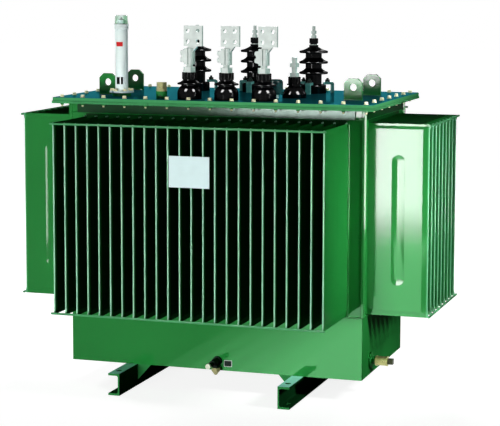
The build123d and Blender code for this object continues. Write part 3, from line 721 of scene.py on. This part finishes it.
# Clamp screws of the flag connectors, and the threads of every stud
SCREW_ACROSS = 16 * MM
SCREW_HEAD = 8 * MM
SCREW_WASHER_RADIUS = 9 * MM
SCREW_SPACING = 26 * MM
JAW_MIDDLE_UNDER_TOP = 115 * MM
JAW_REACH = 25 * MM
LV_NUMBERS = (1, 2, 3)
builder = bmesh.new()
for number in LV_NUMBERS:
    axis = middle_of("lv_bushing_%d" % number)
    flag_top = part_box("lv_flag_connector_%d" % number)[1].z
    for side in (-0.5, 0.5):
        z = flag_top - JAW_MIDDLE_UNDER_TOP + side * SCREW_SPACING
        place = at(axis.x - JAW_REACH, axis.y, z) @ Matrix.Rotation(-math.pi / 2, 4, "Y")
        add_bolt(builder, place, SCREW_ACROSS, SCREW_HEAD, SCREW_WASHER_RADIUS, BOLT_WASHER)
new_piece("connector_screws", builder, "tinned_metal")

THREAD_DEPTH = 0.7 * MM
STUD_TIP = 0.8 * MM
HV_STUD_RADIUS = 6 * MM
HV_THREAD_PITCH = 1.75 * MM
HV_STUD_FREE = 18 * MM
HV_NUT = 12 * MM
HV_NUT_GAP = 6 * MM
NEUTRAL_STUD_RADIUS = 10 * MM
NEUTRAL_THREAD_PITCH = 2.5 * MM
NEUTRAL_STUD_FREE = 22 * MM
NEUTRAL_NUT = 16 * MM
NEUTRAL_NUT_GAP = 21 * MM
LV_STUD_RADIUS = 12 * MM
LV_NUT_TOP_UNDER_FLAG = 155 * MM
LV_STUD_FREE = 10 * MM
HV_STUD = (HV_STUD_RADIUS, HV_THREAD_PITCH, HV_STUD_FREE, HV_NUT, HV_NUT_GAP)
NEUTRAL_STUD = (NEUTRAL_STUD_RADIUS, NEUTRAL_THREAD_PITCH, NEUTRAL_STUD_FREE, NEUTRAL_NUT, NEUTRAL_NUT_GAP)
studs = {"hv_terminal_%d" % number: HV_STUD for number in HV_NUMBERS}
studs["neutral_terminal"] = NEUTRAL_STUD
builder = bmesh.new()
for node_name, (radius, pitch, free, nut, gap) in studs.items():
    axis = middle_of(node_name)
    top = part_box(node_name)[1].z
    place = at(axis.x, axis.y, top)
    add_thread(builder, place, radius, -free, -STUD_TIP, pitch, THREAD_DEPTH)
    add_thread(builder, place, radius, -free - nut - gap, -free - nut, pitch, THREAD_DEPTH)
for number in LV_NUMBERS:
    axis = middle_of("lv_bushing_%d" % number)
    nut_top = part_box("lv_flag_connector_%d" % number)[1].z - LV_NUT_TOP_UNDER_FLAG
    add_thread(
        builder, at(axis.x, axis.y, nut_top), LV_STUD_RADIUS, 0.0, LV_STUD_FREE,
        NEUTRAL_THREAD_PITCH, THREAD_DEPTH,
    )
new_piece("stud_threads", builder, "tinned_metal")

# Pale washers under the black cap nuts
CAP_WASHER_RADIUS = 16.5 * MM
CAP_WASHER = 2.5 * MM
CAP_WASHER_EDGE = 0.4 * MM
CAP_WASHER_SIDES = 32
CAP_NECK_UNDER_TOP = 26.5 * MM
builder = bmesh.new()
for number in HV_NUMBERS:
    axis = middle_of("hv_bushing_%d" % number)
    place = at(axis.x, axis.y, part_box("hv_bushing_%d" % number)[1].z - CAP_NECK_UNDER_TOP)
    lathe(builder, barrel(CAP_WASHER_RADIUS, CAP_WASHER, CAP_WASHER_EDGE), place, CAP_WASHER_SIDES)
new_piece("cap_nut_washers", builder, "tinned_metal")

# White float with a dark cone inside the clear dome, and the ring that holds the dome
DOME_FLOAT_RADIUS = 15 * MM
DOME_FLOAT_HEIGHT = 24 * MM
DOME_FLOAT_ROUND = 4 * MM
CONE_RADIUS = 6 * MM
CONE_HEIGHT = 11 * MM
DOME_DISC = 2 * MM
DOME_RING = 8 * MM
DOME_RING_PROUD = 1.5 * MM
DOME_RING_ROUND = 1 * MM
DOME_SIDES = 48
FLOAT_SIDES = 36
CONE_SIDES = 24
CONE_TIP_SHARE = 0.2
dome_low, dome_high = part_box("sight_dome")
ring_radius = (dome_high.x - dome_low.x) / 2 + DOME_RING_PROUD
place = at(pipe_middle.x, pipe_middle.y, dome_low.z)
builder = bmesh.new()
lathe(builder, barrel(ring_radius, DOME_RING, DOME_RING_ROUND), place, DOME_SIDES)
new_piece("dome_ring", builder, "pipe_paint")

builder = bmesh.new()
disc_radius = DOME_FLOAT_RADIUS - DOME_FLOAT_ROUND
cut = CHAMFER_SHARE * DOME_FLOAT_ROUND
float_profile = [
    (DOME_FLOAT_RADIUS, 0.0),
    (DOME_FLOAT_RADIUS, DOME_FLOAT_HEIGHT - DOME_FLOAT_ROUND),
    (DOME_FLOAT_RADIUS - cut, DOME_FLOAT_HEIGHT - cut),
    (disc_radius, DOME_FLOAT_HEIGHT),
]
lathe(builder, float_profile, place, FLOAT_SIDES)
new_piece("dome_float", builder, "plate_enamel")

builder = bmesh.new()
cone_profile = [
    (disc_radius, 0.0),
    (disc_radius, DOME_DISC),
    (CONE_RADIUS, DOME_DISC),
    (CONE_TIP_SHARE * CONE_RADIUS, CONE_HEIGHT),
]
lathe(builder, cone_profile, place @ at(0, 0, DOME_FLOAT_HEIGHT), CONE_SIDES)
seal_radius = ring_radius - DOME_RING_ROUND / 2
lathe(builder, [(seal_radius, 0.0), (seal_radius, DOME_DISC / 2)], place @ at(0, 0, DOME_RING), DOME_SIDES)
new_piece("dome_cone_and_seal", builder, "dark_steel")

# Weld beads at the tank's joints, the end fins' roots, the corner strips and the lugs' feet
JOINT_WELD = 4 * MM
ROOT_WELD = 5 * MM
STRIP_WELD = 4 * MM
STRIP_RIPPLE = 0.45
LUG_WELD = 4 * MM
END_FIN_ROOT = 524.5 * MM
FIN_LIFT = 3 * MM
FIN_HEAD_ROOM = 52 * MM
CORNERS = [(x, y) for x in (tank_low.x, tank_high.x) for y in (tank_low.y, tank_high.y)]
fin_low, fin_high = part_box("front_fin_wall")
builder = bmesh.new()
for y in (tank_low.y, tank_high.y):
    for z in (lower_box_top, leg_bottom):
        add_weld(builder, (tank_low.x, y, z), (tank_high.x, y, z), JOINT_WELD)
for x in (tank_low.x, tank_high.x):
    for z in (lower_box_top, leg_bottom):
        add_weld(builder, (x, tank_low.y, z), (x, tank_high.y, z), JOINT_WELD)
for x in (-END_FIN_ROOT, END_FIN_ROOT):
    for y in (tank_low.y, tank_high.y):
        add_weld(builder, (x, y, fin_low.z + FIN_LIFT), (x, y, fin_high.z - FIN_HEAD_ROOM), ROOT_WELD, 0.0)
for corner in LUG_CORNERS:
    low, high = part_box(corner + "_lifting_lug")
    for y in (low.y, high.y):
        add_weld(builder, (low.x, y, cover_top), (high.x, y, cover_top), LUG_WELD)
new_piece("weld_beads", builder, "tank_paint", smooth=True)

# Weld spots on the fin tops at the tank wall, painted pale as a highlight
FIN_PITCH = 45 * MM
FIN_COUNT = 24
SPOT_RADIUS = 4 * MM
SPOT_LENGTH = 22 * MM
SPOT_RISE = 2 * MM
builder = bmesh.new()
spot_z = fin_high.z - FIN_HEAD_ROOM + SPOT_RISE
for number in range(FIN_COUNT):
    x = FIN_PITCH * (number - (FIN_COUNT - 1) / 2)
    for y in (tank_low.y, tank_high.y):
        outside = y + math.copysign(SPOT_LENGTH, y)
        add_weld(builder, (x, y, spot_z), (x, outside, spot_z), SPOT_RADIUS, STRIP_RIPPLE)
new_piece("fin_top_weld_highlights", builder, "weld_highlight_paint", smooth=True)

# Eight-sided strips down the tank's upper corners, each with a rough weld beside it
STRIP_RADIUS = 10 * MM
STRIP_EDGE = 1 * MM
STRIP_BACK = 7 * MM
STRIP_SIDES = 8
WELD_ASIDE = 5 * MM
strip_height = flange_bottom - lower_box_top
strip_turn = Matrix.Rotation(math.pi / STRIP_SIDES, 4, "Z")
builder = bmesh.new()
welds = bmesh.new()
for x, y in CORNERS:
    place = at(x, y - math.copysign(STRIP_BACK, y), lower_box_top) @ strip_turn
    lathe(builder, barrel(STRIP_RADIUS, strip_height, STRIP_EDGE), place, STRIP_SIDES)
    seam_x = x - math.copysign(WELD_ASIDE, x)
    add_weld(welds, (seam_x, y, lower_box_top), (seam_x, y, flange_bottom), STRIP_WELD, STRIP_RIPPLE)
new_piece("corner_strips", builder, "tank_paint")
new_piece("corner_welds", welds, "tank_paint", smooth=True)


# Rating plate on the fin tips and the small label on the lower wall
def add_plate(builder, low, high, round_by):
    """A thin upright plate that faces -Y, with its front edge turned over."""
    x0, y0, z0 = low
    x1, y1, z1 = high
    rings = []
    for inset, y in ((0.0, y1), (0.0, y0 + round_by), (round_by, y0)):
        left, right, bottom, top = x0 + inset, x1 - inset, z0 + inset, z1 - inset
        rings.append([(left, y, bottom), (right, y, bottom), (right, y, top), (left, y, top)])
    join_rings(builder, rings)


def inset_box(low, high, inset, proud):
    """The corners of a thinner plate that lies on another's face, set in from its edges."""
    x0, y0, z0 = low
    x1, y1, z1 = high
    return (x0 + inset, y0 - proud, z0 + inset), (x1 - inset, y0, z1 - inset)


PLATE_SPAN_X = (-62 * MM, 93 * MM)
PLATE_SPAN_Z = (817 * MM, 931 * MM)
PLATE_THICKNESS = 2 * MM
PLATE_EDGE = 0.6 * MM
RIVET_RADIUS = 2.5 * MM
RIVET_INSET = 6 * MM
RIVET_SIDES = 16
RIVET_SHARES = ((1.0, 0.0), (0.8, 0.5), (0.3, 0.7))
fin_tip = -FRONT_FIN_TIP
plate_low = (PLATE_SPAN_X[0], fin_tip - PLATE_THICKNESS, PLATE_SPAN_Z[0])
plate_high = (PLATE_SPAN_X[1], fin_tip, PLATE_SPAN_Z[1])
builder = bmesh.new()
add_plate(builder, plate_low, plate_high, PLATE_EDGE)
new_piece("rating_plate", builder, "plate_enamel")
builder = bmesh.new()
facing = Matrix.Rotation(math.pi / 2, 4, "X")
rivet_profile = [(RIVET_RADIUS * across, RIVET_RADIUS * high) for across, high in RIVET_SHARES]
for x in (plate_low[0] + RIVET_INSET, plate_high[0] - RIVET_INSET):
    for z in (plate_low[2] + RIVET_INSET, plate_high[2] - RIVET_INSET):
        lathe(builder, rivet_profile, at(x, plate_low[1], z) @ facing, RIVET_SIDES)
new_piece("plate_rivets", builder, "tinned_metal")

LABEL_SPAN_X = (43 * MM, 75 * MM)
LABEL_SPAN_Z = (100 * MM, 125 * MM)
LABEL_BORDER = 2 * MM
LABEL_FACE = 0.5 * MM
LABEL_FACE_EDGE = 0.2 * MM
wall_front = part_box("front_lower_wall")[0].y
label_low = (LABEL_SPAN_X[0], wall_front - PLATE_THICKNESS, LABEL_SPAN_Z[0])
label_high = (LABEL_SPAN_X[1], wall_front, LABEL_SPAN_Z[1])
builder = bmesh.new()
add_plate(builder, label_low, label_high, PLATE_EDGE)
new_piece("small_label", builder, "tinned_metal")
builder = bmesh.new()
add_plate(builder, *inset_box(label_low, label_high, LABEL_BORDER, LABEL_FACE), LABEL_FACE_EDGE)
new_piece("label_face", builder, "dark_steel")


# Floor, world and lights
def light_rays(tree):
    """1 for camera, glossy and transmission rays, and 0 for the light that falls on surfaces."""
    path = tree.nodes.new("ShaderNodeLightPath")
    total = path.outputs["Is Camera Ray"]
    for kind in ("Is Glossy Ray", "Is Transmission Ray"):
        either = tree.nodes.new("ShaderNodeMath")
        either.operation = "MAXIMUM"
        tree.links.new(total, either.inputs[0])
        tree.links.new(path.outputs[kind], either.inputs[1])
        total = either.outputs[0]
    return total


AMBIENT = (0.014, 0.016, 0.016, 1.0)
world = bpy.data.worlds.new("studio")
bpy.context.scene.world = world
world.use_nodes = True
tree = world.node_tree
backdrop = tree.nodes["Background"]
dim = tree.nodes.new("ShaderNodeBackground")
dim.inputs["Color"].default_value = AMBIENT
backdrop.inputs["Color"].default_value = (*WHITE, 1.0)
choice = tree.nodes.new("ShaderNodeMixShader")
tree.links.new(light_rays(tree), choice.inputs["Fac"])
tree.links.new(dim.outputs[0], choice.inputs[1])
tree.links.new(backdrop.outputs[0], choice.inputs[2])
tree.links.new(choice.outputs[0], tree.nodes["World Output"].inputs["Surface"])

FLOOR_SIZE = 60.0
FLOOR_SEEN = (0.35, 0.35, 0.35, 1.0)
FLOOR_BOUNCE = (0.06, 0.06, 0.06, 1.0)
FLOOR_GLOW_NEAR = 0.86
FLOOR_GLOW_FAR = 1.0
FLOOR_FADE = (1.5, 4.0)
floor_mesh = bpy.data.meshes.new("floor")
half = FLOOR_SIZE / 2
floor_mesh.from_pydata(
    [(-half, -half, 0), (half, -half, 0), (half, half, 0), (-half, half, 0)], [], [(0, 1, 2, 3)]
)
floor = bpy.data.objects.new("floor", floor_mesh)
bpy.context.scene.collection.objects.link(floor)
floor_material, tree, shader = start_material("floor_white")
tree.nodes.remove(shader)
seen = tree.nodes.new("ShaderNodeBsdfDiffuse")
seen.inputs["Color"].default_value = FLOOR_SEEN
coordinates = tree.nodes.new("ShaderNodeTexCoord")
distance = tree.nodes.new("ShaderNodeVectorMath")
distance.operation = "LENGTH"
tree.links.new(coordinates.outputs["Object"], distance.inputs[0])
glow = tree.nodes.new("ShaderNodeEmission")
glow_level = ranged(tree, distance.outputs["Value"], *FLOOR_FADE, FLOOR_GLOW_NEAR, FLOOR_GLOW_FAR)
tree.links.new(glow_level, glow.inputs["Strength"])
seen_sum = tree.nodes.new("ShaderNodeAddShader")
bounce = tree.nodes.new("ShaderNodeBsdfDiffuse")
bounce.inputs["Color"].default_value = FLOOR_BOUNCE
choice = tree.nodes.new("ShaderNodeMixShader")
tree.links.new(seen.outputs[0], seen_sum.inputs[0])
tree.links.new(glow.outputs[0], seen_sum.inputs[1])
tree.links.new(light_rays(tree), choice.inputs["Fac"])
tree.links.new(bounce.outputs[0], choice.inputs[1])
tree.links.new(seen_sum.outputs[0], choice.inputs[2])
tree.links.new(choice.outputs[0], tree.nodes["Material Output"].inputs["Surface"])
floor_mesh.materials.append(floor_material)

OBJECT_MIDDLE = Vector((0.0, 0.0, 0.75))


def soft_box(name, place, size, radiance, target=OBJECT_MIDDLE, spread=180):
    """A rectangular studio lamp, as bright as its radiance over its area, with its spread in degrees."""
    lamp = bpy.data.lights.new(name, "AREA")
    lamp.shape = "RECTANGLE"
    lamp.size, lamp.size_y = size
    lamp.energy = math.pi * size[0] * size[1] * radiance
    lamp.spread = math.radians(spread)
    holder = bpy.data.objects.new(name, lamp)
    holder.location = place
    holder.visible_camera = False
    holder.rotation_euler = (target - Vector(place)).to_track_quat("-Z", "Y").to_euler()
    bpy.context.scene.collection.objects.link(holder)
    return holder


# Bright boards that painted and glazed pieces show, which shed no light of their own
CARD_FINISHES = (
    "tank_paint", "front_fin_shade_highlight_paint", "side_fin_shade_highlight_paint", "shaded_leg_paint", "lug_paint", "pipe_paint",
    "pipe_base_paint", "tap_cap_paint", "porcelain", "gland_plastic",
)
card_viewers = bpy.data.collections.new("card_viewers")
card_materials = [materials[finish] for finish in CARD_FINISHES]
for item in bpy.context.scene.objects:
    if item.type == "MESH" and item.data.materials[0] in card_materials:
        card_viewers.objects.link(item)


def card(name, place, size, radiance, target):
    """A board as bright as its radiance, seen by the glossy finishes alone."""
    holder = soft_box(name, place, size, radiance, target)
    holder.visible_diffuse = False
    holder.light_linking.receiver_collection = card_viewers
    return holder


FLOOR_CARD_COLOUR = (0.40, 1.0, 0.52)
FLOOR_CARD_LIFT = 0.02


def floor_card(name, x, y, size, radiance):
    """A card that lies on the floor facing up, green from the tank above it."""
    place = Vector((x, y, FLOOR_CARD_LIFT))
    holder = card(name, place, size, radiance, place + Vector((0, 0, 1)))
    holder.data.color = FLOOR_CARD_COLOUR


# Where the lamps and cards point, then each one's place and size in metres, and its radiance
FRONT_AIM = Vector((-0.1, -0.3, 0.5))
RIGHT_AIM = Vector((0.68, -0.2, 0.68))
BUSHINGS_AIM = Vector((0.04, -0.1, 1.2))
CORNER_AIM = Vector((0.57, -0.26, 0.9))
LEFT_AIM = Vector((-0.75, -0.25, 0.7))
FRONT_X, FRONT_Y = -0.6, -4.1
FADING_TOP = 0.175
FADING_STEP = 0.05
FLOOR_CARD_Y = -1.2
FLOOR_CARD_DEPTH = 1.4
FLOOR_FADING_LEFT = -0.25
FLOOR_FADING_STEP = 0.1
front_main = soft_box("front_main", (FRONT_X, FRONT_Y, 0.45), (1.12, 0.7), 56, FRONT_AIM)
front_main.visible_glossy = False
soft_box("right_grid", (2.2, -0.75, 1.4), (0.4, 0.4), 8, RIGHT_AIM, 46)
soft_box("rear_right", (2.6, 2.9, 2.6), (0.7, 0.7), 30)
soft_box("rear_high", (-0.6, 4.6, 3.0), (1.0, 1.0), 48)
soft_box("left_side", (-3.4, 1.2, 2.0), (0.7, 0.7), 38)
card("front_card", (FRONT_X, FRONT_Y, 0.5), (1.12, 0.6), 84, FRONT_AIM)
card("upper_card", (-0.55, FRONT_Y, 0.98), (0.6, 0.12), 84, FRONT_AIM)
for number, radiance in enumerate((72, 56, 40, 26)):
    place = (FRONT_X, FRONT_Y, FADING_TOP - FADING_STEP * number)
    card("fading_card_%d" % number, place, (1.12, FADING_STEP), radiance, FRONT_AIM)
floor_card("floor_card", 0.65, FLOOR_CARD_Y, (0.9, FLOOR_CARD_DEPTH), 22)
for number, radiance in enumerate((3.6, 7.3, 11, 14.6, 18.3)):
    x = FLOOR_FADING_LEFT + FLOOR_FADING_STEP * number
    size = (FLOOR_FADING_STEP, FLOOR_CARD_DEPTH)
    floor_card("floor_fading_card_%d" % number, x, FLOOR_CARD_Y, size, radiance)
floor_card("far_floor_card", -0.05, -3.0, (1.0, 2.2), 22)
card("right_card", (2.9, -0.1, 0.62), (2.4, 0.64), 65, CORNER_AIM)
card("left_card", (-1.12, -2.2, 0.48), (0.16, 0.5), 36, LEFT_AIM)
card("high_right_card", (1.78, -1.02, 2.74), (0.9, 1.3), 150, BUSHINGS_AIM)
card("high_left_card", (-0.82, -1.87, 2.74), (0.9, 1.3), 150, BUSHINGS_AIM)

# Camera at the photograph's viewing angle
CAMERA_AZIMUTH = math.radians(18.2)
CAMERA_ELEVATION = math.radians(6.2)
CAMERA_ROLL = math.radians(0.12)
CAMERA_DISTANCE = 6869.12 * MM
CAMERA_AIM = Vector((42.79, 0.0, 837.85)) * MM
CAMERA_LENS = 126.16
CAMERA_SENSOR = 36.0
CAMERA_SHIFT_Y = -0.096
CAMERA_REACH = 200.0
back = Vector((
    math.sin(CAMERA_AZIMUTH) * math.cos(CAMERA_ELEVATION),
    -math.cos(CAMERA_AZIMUTH) * math.cos(CAMERA_ELEVATION),
    math.sin(CAMERA_ELEVATION),
))
lens = bpy.data.cameras.new("camera")
lens.sensor_width = CAMERA_SENSOR
lens.lens = CAMERA_LENS
lens.shift_y = CAMERA_SHIFT_Y
lens.clip_end = CAMERA_REACH
camera = bpy.data.objects.new("camera", lens)
camera.rotation_mode = "QUATERNION"
camera.location = CAMERA_AIM + back * CAMERA_DISTANCE
roll = Matrix.Rotation(CAMERA_ROLL, 3, "Z").to_quaternion()
camera.rotation_quaternion = (-back).to_track_quat("-Z", "Y") @ roll
bpy.context.scene.collection.objects.link(camera)
bpy.context.scene.camera = camera
bpy.context.scene.view_settings.view_transform = "Standard"
